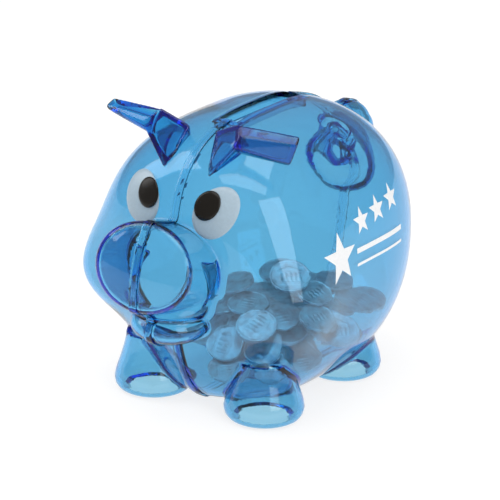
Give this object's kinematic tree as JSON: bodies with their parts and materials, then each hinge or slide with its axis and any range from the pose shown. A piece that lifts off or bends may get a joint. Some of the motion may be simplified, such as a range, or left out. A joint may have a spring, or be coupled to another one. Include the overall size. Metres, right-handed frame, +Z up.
{
  "type": "piggy bank",
  "caption": "Translucent blue plastic pig-shaped coin bank with folded ears, printed eyes, a coin slot on its back, four cup feet and loose coins inside.",
  "frame": {"origin": "on the ground, at the middle of the outline seen from above", "axes": "+Z up, the pig faces -Y, its left flank is +X"},
  "size_m": [0.1378, 0.2015, 0.1499],
  "materials": {
    "tinted_shell": "glossy tinted transparent polystyrene",
    "tinted_ear": "glossy deep blue transparent polystyrene, thick",
    "tinted_stopper": "soft frosted plastic",
    "white_ink": "pad-printed white ink",
    "black_ink": "pad-printed black ink, glossy",
    "coin_metal": "worn struck coin metal"
  },
  "bodies": {
    "bank": {"left_shell": "tinted_shell", "right_shell": "tinted_shell", "left_ear": "tinted_ear", "right_ear": "tinted_ear", "left_eye_white": "white_ink", "right_eye_white": "white_ink", "left_pupil": "black_ink", "right_pupil": "black_ink", "coin_01": "coin_metal", "coin_02": "coin_metal", "coin_03": "coin_metal", "coin_04": "coin_metal", "coin_05": "coin_metal", "coin_06": "coin_metal", "coin_07": "coin_metal", "coin_08": "coin_metal", "coin_09": "coin_metal", "coin_10": "coin_metal", "coin_11": "coin_metal", "coin_12": "coin_metal", "coin_13": "coin_metal", "coin_14": "coin_metal", "coin_15": "coin_metal", "coin_16": "coin_metal", "coin_17": "coin_metal", "coin_18": "coin_metal", "coin_19": "coin_metal", "coin_20": "coin_metal", "coin_21": "coin_metal", "coin_22": "coin_metal", "coin_23": "coin_metal", "coin_24": "coin_metal", "coin_25": "coin_metal", "coin_26": "coin_metal", "coin_27": "coin_metal", "coin_28": "coin_metal", "coin_29": "coin_metal", "coin_30": "coin_metal", "coin_31": "coin_metal", "coin_32": "coin_metal", "coin_33": "coin_metal", "coin_34": "coin_metal", "coin_35": "coin_metal", "coin_36": "coin_metal", "coin_37": "coin_metal", "coin_38": "coin_metal", "coin_39": "coin_metal", "coin_40": "coin_metal"},
    "stopper": {"belly_stopper": "tinted_stopper"}
  },
  "joints": [
    {"name": "stopper_pull", "type": "slide", "parent": "bank", "child": "stopper", "axis": [0, 0, -1], "range_m": [0, 0.012]}
  ]
}
